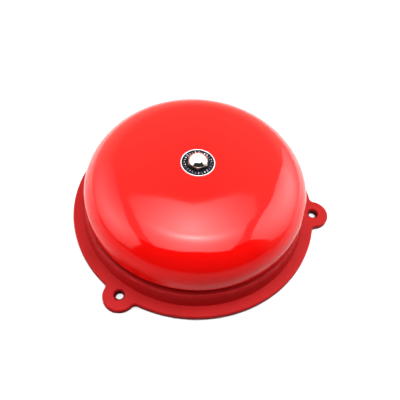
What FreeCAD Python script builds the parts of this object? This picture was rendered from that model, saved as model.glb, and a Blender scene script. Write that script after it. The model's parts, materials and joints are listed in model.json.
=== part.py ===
"""Fire alarm bell: a six inch gong over a round cast base, struck from inside by a solenoid plunger.

The origin is the centre of the base's wall face. +Z points out of the wall, +Y is up once the bell
hangs, and the striker drives along +X. All sizes are in millimetres.
"""
import FreeCAD
import Part
import Sketcher
import math
import os
import re

SIZES = [
    # The gong, a spun steel bowl with its mouth towards the wall
    ("rim_radius", 76.2, "half of six inches, over the gong's rim"),
    ("rim_height", 20.8, "gong's rim above the wall"),
    ("gong_top", 50.5, "gong's crown above the wall"),
    ("gong_skin", 1.5, "sheet of the gong"),
    ("shoulder_radius", 75.3, "where crown and side would meet before the bend"),
    ("crown_fall", 1.4, "fall of the crown from its land to the shoulder"),
    ("gong_bend", 25.0, "outside radius of the bend"),
    ("land_radius", 13.0, "flat land round the gong's hole"),
    ("stud_hole_radius", 4.2, "hole for the post's stud in gong, washer and disc"),
    ("rim_round", 0.6, "rounding of the gong's rim"),
    # What holds the gong
    ("disc_radius", 11.2, "name disc"),
    ("disc_thick", 0.5, "name disc's field"),
    ("disc_rim", 0.75, "width of the name disc's raised rim"),
    ("disc_rim_thick", 0.8, "height of the name disc at its rim"),
    ("washer_thick", 1.5, "rubber washer under the gong"),
    ("washer_radius", 9.0, "rubber washer under the gong"),
    ("cap_flats", 12.7, "cap nut across its flats, half an inch"),
    ("cap_hex_height", 2.6, "cap nut's hexagon"),
    ("cap_dome_radius", 6.1, "cap nut's dome at its foot"),
    ("cap_height", 6.2, "cap nut over all"),
    ("cap_bore_depth", 4.1, "cap nut's thread, blind"),
    ("cap_bore_cone", 0.5, "cone at the blind end of the cap nut's thread"),
    ("cap_thread_play", 0.05, "cap nut's thread from the stud"),
    ("cap_bevel", 0.7, "bevel at the cap nut's corners"),
    ("hexagon_factor", 0.57735, "corner radius of a hexagon one unit across its flats"),
    ("stud_radius", 3.9, "5/16 inch stud on top of the post"),
    ("stud_length", 7.0, "stud on top of the post"),
    ("post_radius", 6.5, "post that carries the gong"),
    ("post_bevel", 0.6, "bevels on the post"),
    ("shank_radius", 3.95, "M8 shank under the post"),
    ("shank_end", 0.6, "end of the M8 shank above the wall"),
    ("shank_hole_radius", 4.1, "hole for the M8 shank"),
    ("flat_washer_radius", 8.0, "M8 washer"),
    ("flat_washer_thick", 1.6, "M8 washer"),
    ("lock_washer_radius", 7.0, "M8 spring washer"),
    ("lock_washer_thick", 2.0, "M8 spring washer"),
    ("lock_washer_gap", 1.2, "split in the M8 spring washer"),
    ("nut_flats", 13.0, "M8 nut across its flats"),
    ("nut_height", 6.0, "M8 nut"),
    ("nut_bevel", 0.5, "bevels of the M8 nut's thread"),
    # The cast base
    ("flange_radius", 86.5, "base flange"),
    ("flange_thick", 4.0, "base flange"),
    ("flange_round", 1.2, "rounding of the flange's upper edge"),
    ("ear_count", 3, "fixing ears"),
    ("fixing_pitch_radius", 86.6, "pitch radius of the wall screws"),
    ("fixing_hole_radius", 2.6, "hole for a wall screw"),
    ("countersink", 1.5, "countersink of a wall screw's hole"),
    ("ear_radius", 11.0, "fixing ear round its hole"),
    ("ear_blend", 3.0, "blend between ear and flange"),
    ("plinth_foot_radius", 79.0, "plinth where it leaves the flange"),
    ("plinth_top_radius", 77.0, "plinth at its upper edge"),
    ("plinth_round", 2.0, "rounding of the plinth's upper edge"),
    ("foot_round", 0.8, "cove between plinth and flange"),
    ("plate_top", 14.0, "top plate of the base above the wall"),
    ("cavity_roof", 11.2, "underside of the top plate above the wall"),
    ("cavity_foot_radius", 75.5, "wiring space at the wall"),
    ("cavity_top_radius", 74.0, "wiring space at its roof"),
    ("hub_radius", 11.0, "hub under the post"),
    ("hub_top", 18.0, "hub's seat above the wall"),
    ("boss_radius", 4.2, "bosses under the solenoid"),
    ("tapped_radius", 2.05, "M4 tapped holes"),
    ("tapped_floor", 12.6, "floor of the bosses' tapped holes above the wall"),
    # The solenoid, measured from its own axis
    ("axis_height", 27.0, "striker's axis above the wall"),
    ("core_half_height", 6.0, "half of the lamination stack"),
    ("core_back", 20.0, "back of the core"),
    ("core_front", 56.0, "front of the core"),
    ("core_half_width", 18.0, "half width of the core"),
    ("window_back", 26.0, "core window, back"),
    ("window_front", 50.0, "core window, front"),
    ("window_half_width", 12.0, "core window, half width"),
    ("pole_back", 43.0, "face of the fixed pole"),
    ("pole_half_width", 6.0, "fixed pole and plunger, half width"),
    ("bore_half_width", 6.3, "bobbin's bore and the core's back gap, half width"),
    ("spring_seat", 47.0, "floor of the spring's pocket in the pole"),
    ("spring_pocket_radius", 4.2, "spring's pocket"),
    ("rod_gap_radius", 2.4, "hole for the rod behind the bush"),
    ("screw_back", 23.0, "back pair of core screws"),
    ("screw_front", 53.0, "front pair of core screws"),
    ("screw_side", 15.0, "core screws and rivets from the axis"),
    ("rivet_place", 38.0, "core rivets along the axis"),
    ("rivet_radius", 1.5, "core rivets"),
    ("rivet_head_radius", 2.5, "core rivets"),
    ("rivet_head", 0.8, "height of a rivet's head"),
    ("screw_radius", 1.95, "M4 screws"),
    ("screw_hole_radius", 2.15, "clearance hole for M4"),
    ("screw_head_radius", 3.5, "M4 pan head"),
    ("screw_head", 2.6, "height of the M4 pan head"),
    ("screw_head_round", 0.8, "rounding of the M4 pan head"),
    ("screw_slot", 1.0, "width of a screw's slot"),
    ("slot_depth", 1.1, "depth of a screw's slot"),
    ("screw_tip", 13.0, "tip of the core screws above the wall"),
    ("small_washer_radius", 4.2, "M4 washer"),
    ("small_washer_thick", 0.8, "M4 washer"),
    ("bobbin_play", 0.2, "bobbin's end play in the core window"),
    ("bobbin_wall", 1.0, "bobbin's tube"),
    ("cheek_thick", 1.2, "bobbin's cheeks"),
    ("cheek_half_width", 11.7, "bobbin's cheeks, half width"),
    ("shelf_reach", 35.0, "side shelf of the bobbin, from the axis"),
    ("shelf_thick", 1.7, "side shelf of the bobbin"),
    ("winding_half_width", 11.0, "coil winding, half width"),
    ("winding_corner", 3.6, "rounding of the winding"),
    ("tape_thick", 0.4, "tape round the winding"),
    ("tape_margin", 1.1, "bare winding at each side of the tape"),
    ("pin_place", 38.0, "coil pins along the axis"),
    ("pin_near", 21.0, "first coil pin and first terminal way from the axis"),
    ("pin_far", 31.0, "second coil pin and second terminal way from the axis"),
    ("pin_radius", 0.7, "coil pins"),
    ("pin_drop", 3.0, "coil pins below the shelf"),
    ("pin_rise", 2.3, "coil pins above the shelf"),
    ("pin_collar_radius", 1.5, "collar of a coil pin"),
    ("pin_collar", 0.7, "height of a coil pin's collar"),
    ("bush_radius", 3.0, "bush's sleeve"),
    ("bush_bore_radius", 2.05, "bush's bore"),
    ("bush_flange_radius", 5.0, "bush's flange and the buffer"),
    ("bush_flange", 2.0, "bush's flange"),
    ("buffer_thick", 2.0, "rubber buffer"),
    ("buffer_hole_radius", 2.5, "rubber buffer"),
    ("buffer_play", 0.1, "hammer from the buffer at rest"),
    # The striker
    ("striker_travel", 4.4, "from the buffer to just short of the gong"),
    ("plunger_back", 11.0, "back of the plunger"),
    ("plunger_front", 38.0, "front of the plunger"),
    ("plunger_bevel", 0.6, "bevels of the plunger"),
    ("rod_radius", 2.0, "striker rod"),
    ("rod_back", 28.0, "back of the striker rod"),
    ("rod_front", 64.0, "front of the striker rod"),
    ("cross_pin_place", 32.0, "cross pin along the axis"),
    ("cross_pin_radius", 1.0, "cross pin"),
    ("cross_pin_half_length", 5.8, "cross pin"),
    ("strike_gap", 1.0, "hammer from the gong's inside radius at the rim, at full travel"),
    ("hammer_radius", 4.5, "hammer tip"),
    ("nose_round", 4.0, "rounding of the hammer's nose"),
    ("wire_radius", 0.35, "return spring's wire"),
    ("coil_radius", 3.1, "return spring's mean radius"),
    ("spring_turns", 5.5, "return spring"),
    ("spring_gap", 0.05, "return spring from its seats"),
    # Leads and terminals in the wiring space
    ("lead_radius", 1.0, "coil lead over its insulation"),
    ("lead_bend", 4.0, "coil lead's bend"),
    ("lead_height", 6.3, "leads and terminal tubes above the wall"),
    ("lead_end", 6.0, "end of a lead inside its terminal tube"),
    ("lead_bore_radius", 1.05, "hole in a lead grommet"),
    ("lead_hole_radius", 2.6, "hole in the plate for a lead grommet"),
    ("lead_lip_radius", 3.8, "lip of a lead grommet"),
    ("lead_lip", 1.1, "thickness of a lead grommet's lips"),
    ("block_offset", 26.0, "terminal block below the bell's centre"),
    ("block_half_length", 9.0, "terminal block along its tubes"),
    ("block_half_width", 11.0, "terminal block across its tubes"),
    ("block_foot", 1.9, "terminal block's face above the wall"),
    ("block_round", 1.0, "rounding of the terminal block"),
    ("way_offset", 5.0, "terminal tubes from the block's middle"),
    ("tube_radius", 2.4, "terminal tube"),
    ("tube_bore_radius", 1.5, "terminal tube"),
    ("tube_half_length", 7.0, "terminal tube"),
    ("clamp_offset", 4.0, "clamp screws from the block's middle"),
    ("clamp_radius", 0.95, "clamp screw"),
    ("clamp_hole_radius", 1.0, "clamp screw's hole in the tube"),
    ("clamp_head_radius", 1.7, "clamp screw"),
    ("clamp_well_radius", 1.85, "clamp screw's well"),
    ("clamp_head_foot", 2.2, "face of a clamp screw above the wall"),
    ("clamp_head_top", 3.7, "underside of a clamp screw's head above the wall"),
    ("clamp_tip", 5.2, "tip of a clamp screw above the wall"),
    ("clamp_slot", 0.5, "slot of a clamp screw"),
    ("block_screw_radius", 1.45, "M3 screw of the terminal block"),
    ("block_screw_hole", 1.6, "M3 screw's hole"),
    ("block_head_radius", 2.3, "M3 screw's head"),
    ("block_well_radius", 2.4, "M3 screw's well"),
    ("block_well_floor", 3.9, "M3 screw's well above the wall"),
    ("block_screw_tip", 13.0, "M3 screw's tip above the wall"),
    ("earth_across", -22.0, "earth screw from the bell's middle"),
    ("earth_up", -58.0, "earth screw from the bell's middle"),
    ("earth_boss_radius", 4.5, "earth boss"),
    ("earth_boss_foot", 5.2, "face of the earth boss above the wall"),
    ("earth_screw_foot", 1.8, "head of the earth screw above the wall"),
    # The cable's way in, through the plinth's lower side
    ("entry_height", 7.65, "cable entry above the wall"),
    ("entry_hole_radius", 3.0, "hole in the plinth's wall"),
    ("entry_face", 77.4, "flat outside the entry, from the bell's middle"),
    ("entry_inner_face", 75.2, "flat inside the entry, from the bell's middle"),
    ("entry_face_radius", 3.6, "flat outside the entry"),
    ("entry_inner_radius", 3.5, "flat inside the entry"),
    ("entry_bore_radius", 2.4, "cable grommet's bore"),
    ("entry_lip_radius", 3.5, "cable grommet's outer lip"),
    ("entry_lip", 1.5, "thickness of the outer lip"),
    ("entry_inner_lip_radius", 3.4, "cable grommet's inner lip"),
    ("entry_inner_lip", 1.3, "thickness of the inner lip"),
    ("cut_margin", 3.0, "how far the cable entry's cutter runs past the plinth"),
    ("overrun", 1.0, "how far any other cutter runs past the metal"),
    ("tip_play", 0.2, "tip of a screw from the floor of its hole"),
]

PLANES = {"XY": "XY_Plane", "XZ": "XZ_Plane", "YZ": "YZ_Plane"}

# Two lengths closer than this are the same length
NEAR = 0.01

doc = FreeCAD.newDocument("fire_alarm_bell")
sheet = doc.addObject("Spreadsheet::Sheet", "sizes")
for row, (alias, number, meaning) in enumerate(SIZES, start=1):
    sheet.set("A%d" % row, alias)
    sheet.set("B%d" % row, str(number))
    sheet.set("C%d" % row, meaning)
    sheet.setAlias("B%d" % row, alias)
doc.recompute()

subparts = []


# Sizes written as sums of sheet names, such as "gong_top - gong_skin" or "2*rod_radius"

def term(text):
    """What one product or quotient of sheet names and numbers comes to."""
    result = 1.0
    for step, word in re.findall(r"([*/]?)([\w.]+)", text):
        number = float(word) if word[0].isdigit() else float(getattr(sheet, word))
        result = result / number if step == "/" else result * number
    return result


def amount(text):
    """What a sum of such terms comes to, in millimetres."""
    total = 0.0
    sign = 1.0
    for word in text.split():
        if word in ("+", "-"):
            sign = 1.0 if word == "+" else -1.0
        elif word.startswith("-"):
            total -= term(word[1:])
        else:
            total += sign * term(word)
    return total


def minus(text):
    """The same sum with its sign turned."""
    return "0 - " + text.replace(" + ", " ~ ").replace(" - ", " + ").replace(" ~ ", " - ")


def bind(thing, where, text):
    """Tie a property or a constraint to the sheet."""
    thing.setExpression(where, re.sub(r"[A-Za-z_]\w*", lambda name: "sizes." + name.group(0), text))


# Sketches

def new_sketch(body, name, plane, shift=("0", "0", "0")):
    """An empty sketch on one of the body's own planes, shifted in the sketch's own directions."""
    sketch = body.newObject("Sketcher::SketchObject", name)
    support = [face for face in body.Origin.OriginFeatures if face.Role == PLANES[plane]][0]
    sketch.AttachmentSupport = (support, "")
    sketch.MapMode = "FlatFace"
    for axis, text in zip("xyz", shift):
        if text != "0":
            bind(sketch, "AttachmentOffset.Base." + axis, text)
    return sketch


def hold(sketch, index, point, x, y):
    """Hold one point of a sketch where two sizes put it."""
    for axis, kind, text in ((-2, "DistanceX", x), (-1, "DistanceY", y)):
        if text == "0":
            sketch.addConstraint(Sketcher.Constraint("PointOnObject", index, point, axis))
            continue
        made = sketch.addConstraint(Sketcher.Constraint(kind, -1, 1, index, point, amount(text)))
        name = "%s_%d_%d" % (kind, index, point)
        sketch.renameConstraint(made, name)
        bind(sketch, "Constraints." + name, text)


def outline(sketch, corners):
    """A closed outline of straight sides through corners that the sheet places."""
    first = sketch.GeometryCount
    points = [FreeCAD.Vector(amount(x), amount(y), 0) for x, y in corners]
    for start, end in zip(points, points[1:] + points[:1]):
        sketch.addGeometry(Part.LineSegment(start, end), False)
    for place, (x, y) in enumerate(corners):
        line = first + place
        before = first + (place - 1) % len(corners)
        sketch.addConstraint(Sketcher.Constraint("Coincident", before, 2, line, 1))
        hold(sketch, line, 1, x, y)
    return sketch


def rectangle(sketch, left, right, low, high):
    """A rectangle between four sizes."""
    return outline(sketch, [(left, low), (right, low), (right, high), (left, high)])


def hexagon(sketch, flats):
    """A hexagon with two corners on the sketch's horizontal axis."""
    side = flats + "/2"
    corner = flats + "*hexagon_factor"
    near = corner + "/2"
    return outline(sketch, [(corner, "0"), (near, side), ("-" + near, side),
                            ("-" + corner, "0"), ("-" + near, "-" + side), (near, "-" + side)])


def circles(sketch, radius, centres):
    """Circles of one radius at centres that the sheet places."""
    for x, y in centres:
        middle = FreeCAD.Vector(amount(x), amount(y), 0)
        index = sketch.addGeometry(Part.Circle(middle, FreeCAD.Vector(0, 0, 1), amount(radius)), False)
        hold(sketch, index, 3, x, y)
        made = sketch.addConstraint(Sketcher.Constraint("Radius", index, amount(radius)))
        sketch.renameConstraint(made, "radius_%d" % index)
        bind(sketch, "Constraints.radius_%d" % index, radius)
    return sketch


# Features

def new_body(label, x="0", y="0", z="0"):
    """A sub-part whose own origin stands at x, y, z in the bell."""
    body = doc.addObject("PartDesign::Body", label)
    body.Label = label
    body.AllowCompound = True
    for axis, text in (("x", x), ("y", y), ("z", z)):
        if text != "0":
            bind(body, "Placement.Base." + axis, text)
    subparts.append(body)
    return body


def volume_of(body):
    """The sub-part's volume as far as it is built."""
    doc.recompute()
    return 0.0 if body.Shape.isNull() else body.Shape.Volume


def turn(body, sketch, cut=False, axis="V_Axis"):
    """Turn a half section round an axis of its own sketch, to add metal or to cut it away."""
    before = volume_of(body)
    kind = "Groove" if cut else "Revolution"
    feature = body.newObject("PartDesign::" + kind, sketch.Name + "_turned")
    feature.Profile = sketch
    feature.ReferenceAxis = (sketch, [axis])
    feature.Angle = 360
    confirm(body, before, cut, sketch.Name)
    return feature


def extrude(body, sketch, length, cut=False, back=False, both=False):
    """Push a sketch along its normal by a length, to add metal or to cut it away."""
    before = volume_of(body)
    feature = body.newObject("PartDesign::Pocket" if cut else "PartDesign::Pad", sketch.Name + "_long")
    feature.Profile = sketch
    feature.Reversed = back
    if both:
        feature.SideType = "Symmetric"
    bind(feature, "Length", length)
    confirm(body, before, cut, sketch.Name)
    return feature


def confirm(body, before, cut, name):
    """Stop if a feature added or removed nothing."""
    change = volume_of(body) - before
    if (change >= 0) if cut else (change <= 0):
        raise RuntimeError("%s: feature %s changed the volume by %.3f" % (body.Label, name, change))


def around(body, feature, sketch, count):
    """Repeat a feature evenly round its sketch's normal."""
    pattern = body.newObject("PartDesign::PolarPattern", feature.Name + "_round")
    pattern.Originals = [feature]
    pattern.Axis = (sketch, ["N_Axis"])
    pattern.Angle = 360
    bind(pattern, "Occurrences", count)
    body.Tip = pattern
    doc.recompute()
    return pattern


def dress(body, kind, size, wanted):
    """Fillet or chamfer the edges of the sub-part that a test picks."""
    doc.recompute()
    base = body.Tip
    names = ["Edge%d" % number for number, edge in enumerate(base.Shape.Edges, start=1) if wanted(edge)]
    if not names:
        raise RuntimeError("%s: no edge for %s %s" % (body.Label, kind, size))
    feature = body.newObject("PartDesign::" + kind, "%s_%s" % (kind, size))
    feature.Base = (base, names)
    bind(feature, "Radius" if kind == "Fillet" else "Size", size)
    doc.recompute()
    return feature


def hollow(body, wall, is_open):
    """Shell the sub-part inwards to one wall thickness, open at the faces that a test picks."""
    doc.recompute()
    block = body.Tip
    names = ["Face%d" % number for number, face in enumerate(block.Shape.Faces, start=1) if is_open(face)]
    before = volume_of(body)
    shell = body.newObject("PartDesign::Thickness", "shell")
    shell.Base = (block, names)
    shell.Join = "Intersection"
    bind(shell, "Value", wall)
    confirm(body, before, True, "shell")
    return shell


def circle_at(radius, height):
    """A test for a whole round edge about the Z axis, by radius and height."""
    def wanted(edge):
        curve = edge.Curve
        return (isinstance(curve, Part.Circle) and abs(curve.Radius - amount(radius)) < NEAR
                and abs(curve.Center.z - amount(height)) < NEAR
                and math.hypot(curve.Center.x, curve.Center.y) < NEAR)
    return wanted


def runs_along(axis):
    """A test for straight edges along one axis, 0 for X, 1 for Y and 2 for Z."""
    def wanted(edge):
        if not isinstance(edge.Curve, Part.Line):
            return False
        run = edge.Vertexes[-1].Point - edge.Vertexes[0].Point
        return abs(abs(run[axis]) - run.Length) < NEAR
    return wanted


def turned_part(label, half_section, x="0", y="0", z="0"):
    """A sub-part turned about its own Z axis from (radius, height) corners."""
    body = new_body(label, x, y, z)
    turn(body, outline(new_sketch(body, label + "_section", "XZ"), half_section))
    return body


def rod_part(label, half_section, z="0"):
    """A sub-part turned about the X axis from (distance along X, radius) corners."""
    body = new_body(label, "0", "0", z)
    turn(body, outline(new_sketch(body, label + "_section", "XZ"), half_section), axis="H_Axis")
    return body


def slotted(body, name, centres, width, reach, height, depth, back=False):
    """Cut a driver's slot across each screw head."""
    sketch = new_sketch(body, name, "XY", ("0", "0", height))
    for x, y in centres:
        left = x + minus(reach)[1:]
        rectangle(sketch, left, x + " + " + reach, y + " - " + width + "/2", y + " + " + width + "/2")
    extrude(body, sketch, depth, cut=True, back=back)


# The cast base

SCREW_PLACES = [("screw_back", "screw_side"), ("screw_back", "-screw_side"),
                ("screw_front", "screw_side"), ("screw_front", "-screw_side")]
LEAD_PLACES = [("pin_place", "-pin_near"), ("pin_place", "-pin_far")]


def base_casting():
    """Flange with three ears, hollow plinth, top plate, hub and bosses, in one casting."""
    body = new_body("base_casting")
    shell = outline(new_sketch(body, "shell", "XZ"), [
        ("cavity_foot_radius", "0"), ("flange_radius", "0"), ("flange_radius", "flange_thick"),
        ("plinth_foot_radius", "flange_thick"), ("plinth_top_radius", "plate_top"), ("0", "plate_top"),
        ("0", "cavity_roof"), ("cavity_top_radius", "cavity_roof")])
    turn(body, shell)
    ear = circles(new_sketch(body, "ear", "XY"), "ear_radius", [("0", "fixing_pitch_radius")])
    around(body, extrude(body, ear, "flange_thick"), ear, "ear_count")
    reach = amount("flange_radius")

    def ear_corner(edge):
        middle = edge.CenterOfMass
        return runs_along(2)(edge) and abs(math.hypot(middle.x, middle.y) - reach) < NEAR

    def flange_edge(edge):
        box = edge.BoundBox
        far = max(math.hypot(spot.Point.x, spot.Point.y) for spot in edge.Vertexes)
        level = abs(box.ZMin - amount("flange_thick")) < NEAR and box.ZLength < NEAR
        return level and far > reach - NEAR

    dress(body, "Fillet", "ear_blend", ear_corner)
    dress(body, "Fillet", "flange_round", flange_edge)
    dress(body, "Fillet", "plinth_round", circle_at("plinth_top_radius", "plate_top"))
    dress(body, "Fillet", "foot_round", circle_at("plinth_foot_radius", "flange_thick"))
    fixing = circles(new_sketch(body, "fixing_hole", "XY"), "fixing_hole_radius",
                     [("0", "fixing_pitch_radius")])
    around(body, extrude(body, fixing, "flange_thick", cut=True, back=True), fixing, "ear_count")

    def fixing_mouth(edge):
        round_hole = isinstance(edge.Curve, Part.Circle)
        return (round_hole and abs(edge.Curve.Radius - amount("fixing_hole_radius")) < NEAR
                and abs(edge.Curve.Center.z - amount("flange_thick")) < NEAR)

    dress(body, "Chamfer", "countersink", fixing_mouth)
    hub = circles(new_sketch(body, "hub", "XY", ("0", "0", "cavity_roof")), "hub_radius", [("0", "0")])
    extrude(body, hub, "hub_top - cavity_roof")
    bosses = circles(new_sketch(body, "bosses", "XY", ("0", "0", "cavity_roof")), "boss_radius",
                     SCREW_PLACES)
    extrude(body, bosses, "axis_height - core_half_height - cavity_roof")
    earth = circles(new_sketch(body, "earth_boss", "XY", ("0", "0", "earth_boss_foot")),
                    "earth_boss_radius", [("earth_across", "earth_up")])
    extrude(body, earth, "cavity_roof - earth_boss_foot + overrun")
    shank = circles(new_sketch(body, "shank_hole", "XY"), "shank_hole_radius", [("0", "0")])
    extrude(body, shank, "hub_top", cut=True, back=True)
    tapped = circles(new_sketch(body, "boss_threads", "XY", ("0", "0", "tapped_floor")),
                     "tapped_radius", SCREW_PLACES)
    extrude(body, tapped, "axis_height - tapped_floor", cut=True, back=True)
    leads = circles(new_sketch(body, "lead_holes", "XY"), "lead_hole_radius", LEAD_PLACES)
    extrude(body, leads, "plate_top", cut=True, back=True)
    threads = new_sketch(body, "earth_thread", "XY")
    circles(threads, "tapped_radius", [("earth_across", "earth_up")])
    extrude(body, threads, "tapped_floor", cut=True, back=True)
    block = circles(new_sketch(body, "block_thread", "XY"), "block_screw_hole", [("0", "-block_offset")])
    extrude(body, block, "block_screw_tip + tip_play", cut=True, back=True)
    entry = outline(new_sketch(body, "cable_entry", "YZ", ("0", "entry_height", "0")), [
        ("-entry_face - cut_margin", "0"), ("-entry_face - cut_margin", "entry_face_radius"),
        ("-entry_face", "entry_face_radius"), ("-entry_face", "entry_hole_radius"),
        ("-entry_inner_face", "entry_hole_radius"), ("-entry_inner_face", "entry_inner_radius"),
        ("-entry_inner_face + cut_margin", "entry_inner_radius"), ("-entry_inner_face + cut_margin", "0")])
    turn(body, entry, cut=True, axis="H_Axis")
    return body


def cable_grommet():
    """Rubber grommet in the cable entry, pushed in from below the bell."""
    body = new_body("cable_grommet", z="entry_height")
    section = outline(new_sketch(body, "grommet_section", "YZ"), [
        ("-entry_face - entry_lip", "entry_bore_radius"), ("-entry_face - entry_lip", "entry_lip_radius"),
        ("-entry_face", "entry_lip_radius"), ("-entry_face", "entry_hole_radius"),
        ("-entry_inner_face", "entry_hole_radius"), ("-entry_inner_face", "entry_inner_lip_radius"),
        ("-entry_inner_face + entry_inner_lip", "entry_inner_lip_radius"),
        ("-entry_inner_face + entry_inner_lip", "entry_bore_radius")])
    turn(body, section, axis="H_Axis")
    return body


# The post and the gong

def gong_post():
    """Turned post: M8 shank below, 5/16 inch stud above, shoulders at both ends."""
    stud_foot = "gong_top - gong_skin - washer_thick"
    return turned_part("gong_post", [
        ("0", "shank_end"), ("shank_radius", "shank_end"), ("shank_radius", "hub_top"),
        ("post_radius - post_bevel", "hub_top"), ("post_radius", "hub_top + post_bevel"),
        ("post_radius", stud_foot + " - post_bevel"), ("post_radius - post_bevel", stud_foot),
        ("stud_radius", stud_foot), ("stud_radius", stud_foot + " + stud_length"),
        ("0", stud_foot + " + stud_length")])


def ring_part(label, hole, radius, low, high, x="0", y="0"):
    """A plain ring or washer about a vertical axis."""
    return turned_part(label, [(hole, low), (radius, low), (radius, high), (hole, high)], x, y)


def post_spring_washer(foot):
    """Split M8 spring washer."""
    body = ring_part("post_spring_washer", "shank_hole_radius", "lock_washer_radius",
                     foot + " - lock_washer_thick", foot)
    split = new_sketch(body, "split", "XY")
    rectangle(split, "0", "lock_washer_radius + overrun", "-lock_washer_gap/2", "lock_washer_gap/2")
    extrude(body, split, "cavity_roof", cut=True, back=True)
    return body


def post_nut(top):
    """Plain M8 nut under the top plate."""
    body = new_body("post_nut")
    blank = hexagon(new_sketch(body, "nut_blank", "XY", ("0", "0", top + " - nut_height")), "nut_flats")
    extrude(body, blank, "nut_height")
    bore = circles(new_sketch(body, "nut_bore", "XY"), "shank_hole_radius", [("0", "0")])
    extrude(body, bore, "cavity_roof", cut=True, back=True)
    dress(body, "Chamfer", "nut_bevel", lambda edge: isinstance(edge.Curve, Part.Circle))
    return body


def gong():
    """Spun bowl: flat land, slightly falling crown, wide bend, side flaring to the rim."""
    body = new_body("gong")
    outside = outline(new_sketch(body, "gong_outside", "XZ"), [
        ("0", "gong_top"), ("land_radius", "gong_top"), ("shoulder_radius", "gong_top - crown_fall"),
        ("rim_radius", "rim_height"), ("0", "rim_height")])
    turn(body, outside)
    dress(body, "Fillet", "gong_bend", circle_at("shoulder_radius", "gong_top - crown_fall"))
    rim = amount("rim_height")
    hollow(body, "gong_skin", lambda face: face.BoundBox.ZMax < rim + NEAR)
    hole = circles(new_sketch(body, "gong_hole", "XY"), "stud_hole_radius", [("0", "0")])
    extrude(body, hole, "gong_top", cut=True, back=True)
    dress(body, "Fillet", "rim_round", lambda edge: abs(edge.BoundBox.ZMax - rim) < NEAR)
    return body


def name_disc():
    """Thin disc under the cap nut, with a raised rim."""
    return turned_part("name_disc", [
        ("stud_hole_radius", "gong_top"), ("disc_radius", "gong_top"),
        ("disc_radius", "gong_top + disc_rim_thick"),
        ("disc_radius - disc_rim", "gong_top + disc_rim_thick"),
        ("disc_radius - disc_rim", "gong_top + disc_thick"),
        ("stud_hole_radius", "gong_top + disc_thick")])


def dome(sketch, radius, foot, top):
    """Half section of a shallow dome: a flat foot and an arc that is level on the axis."""
    rise = amount(top) - amount(foot)
    reach = amount(radius)
    bend = (reach ** 2 + rise ** 2) / (2 * rise)
    centre = FreeCAD.Vector(0, amount(top) - bend, 0)
    corner = FreeCAD.Vector(reach, amount(foot), 0)
    middle = FreeCAD.Vector(0, amount(foot), 0)
    crown = FreeCAD.Vector(0, amount(top), 0)
    sketch.addGeometry(Part.LineSegment(middle, corner), False)
    start = math.asin((bend - rise) / bend)
    curve = Part.Circle(centre, FreeCAD.Vector(0, 0, 1), bend)
    sketch.addGeometry(Part.ArcOfCircle(curve, start, math.pi / 2), False)
    sketch.addGeometry(Part.LineSegment(crown, middle), False)
    hold(sketch, 0, 1, "0", foot)
    hold(sketch, 0, 2, radius, foot)
    hold(sketch, 1, 2, "0", top)
    sketch.addConstraint(Sketcher.Constraint("Coincident", 0, 2, 1, 1))
    sketch.addConstraint(Sketcher.Constraint("PointOnObject", 1, 3, -2))
    sketch.addConstraint(Sketcher.Constraint("Coincident", 1, 2, 2, 1))
    sketch.addConstraint(Sketcher.Constraint("Coincident", 2, 2, 0, 1))
    return sketch


def cap_nut():
    """Low cap nut: bevelled hexagon with a shallow dome, bored blind from below."""
    body = new_body("cap_nut", z="gong_top + disc_thick")
    extrude(body, hexagon(new_sketch(body, "cap_blank", "XY"), "cap_flats"), "cap_hex_height")
    corner = "cap_flats*hexagon_factor"
    bevel = outline(new_sketch(body, "cap_bevels", "XZ"), [
        (corner + " - cap_bevel - overrun", "cap_hex_height + overrun"),
        (corner + " + overrun", "cap_hex_height + overrun"),
        (corner + " + overrun", "cap_hex_height - cap_bevel - overrun")])
    turn(body, bevel, cut=True)
    turn(body, dome(new_sketch(body, "cap_dome", "XZ"), "cap_dome_radius", "cap_hex_height", "cap_height"))
    bore = outline(new_sketch(body, "cap_bore", "XZ"), [
        ("0", "-overrun"), ("stud_radius + cap_thread_play", "-overrun"),
        ("stud_radius + cap_thread_play", "cap_bore_depth - cap_bore_cone"), ("0", "cap_bore_depth")])
    turn(body, bore, cut=True)
    return body


# The solenoid

def core_yoke():
    """Laminated core: a frame round the coil, open at the back for the plunger, with the fixed pole."""
    body = new_body("core_yoke", z="axis_height - core_half_height")
    plan = outline(new_sketch(body, "lamination", "XY"), [
        ("core_back", "bore_half_width"), ("core_back", "core_half_width"),
        ("core_front", "core_half_width"), ("core_front", "-core_half_width"),
        ("core_back", "-core_half_width"), ("core_back", "-bore_half_width"),
        ("window_back", "-bore_half_width"), ("window_back", "-window_half_width"),
        ("window_front", "-window_half_width"), ("window_front", "-pole_half_width"),
        ("pole_back", "-pole_half_width"), ("pole_back", "pole_half_width"),
        ("window_front", "pole_half_width"), ("window_front", "window_half_width"),
        ("window_back", "window_half_width"), ("window_back", "bore_half_width")])
    extrude(body, plan, "2*core_half_height")
    screws = circles(new_sketch(body, "core_screw_holes", "XY"), "screw_hole_radius", SCREW_PLACES)
    extrude(body, screws, "2*core_half_height", cut=True, back=True)
    rivets = circles(new_sketch(body, "core_rivet_holes", "XY"), "rivet_radius",
                     [("rivet_place", "screw_side"), ("rivet_place", "-screw_side")])
    extrude(body, rivets, "2*core_half_height", cut=True, back=True)
    channel = outline(new_sketch(body, "rod_channel", "XZ", ("0", "core_half_height", "0")), [
        ("pole_back - overrun", "0"), ("pole_back - overrun", "spring_pocket_radius"),
        ("spring_seat", "spring_pocket_radius"), ("spring_seat", "rod_gap_radius"),
        ("window_front", "rod_gap_radius"), ("window_front", "bush_radius"),
        ("core_front + overrun", "bush_radius"), ("core_front + overrun", "0")])
    turn(body, channel, cut=True, axis="H_Axis")
    return body


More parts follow.
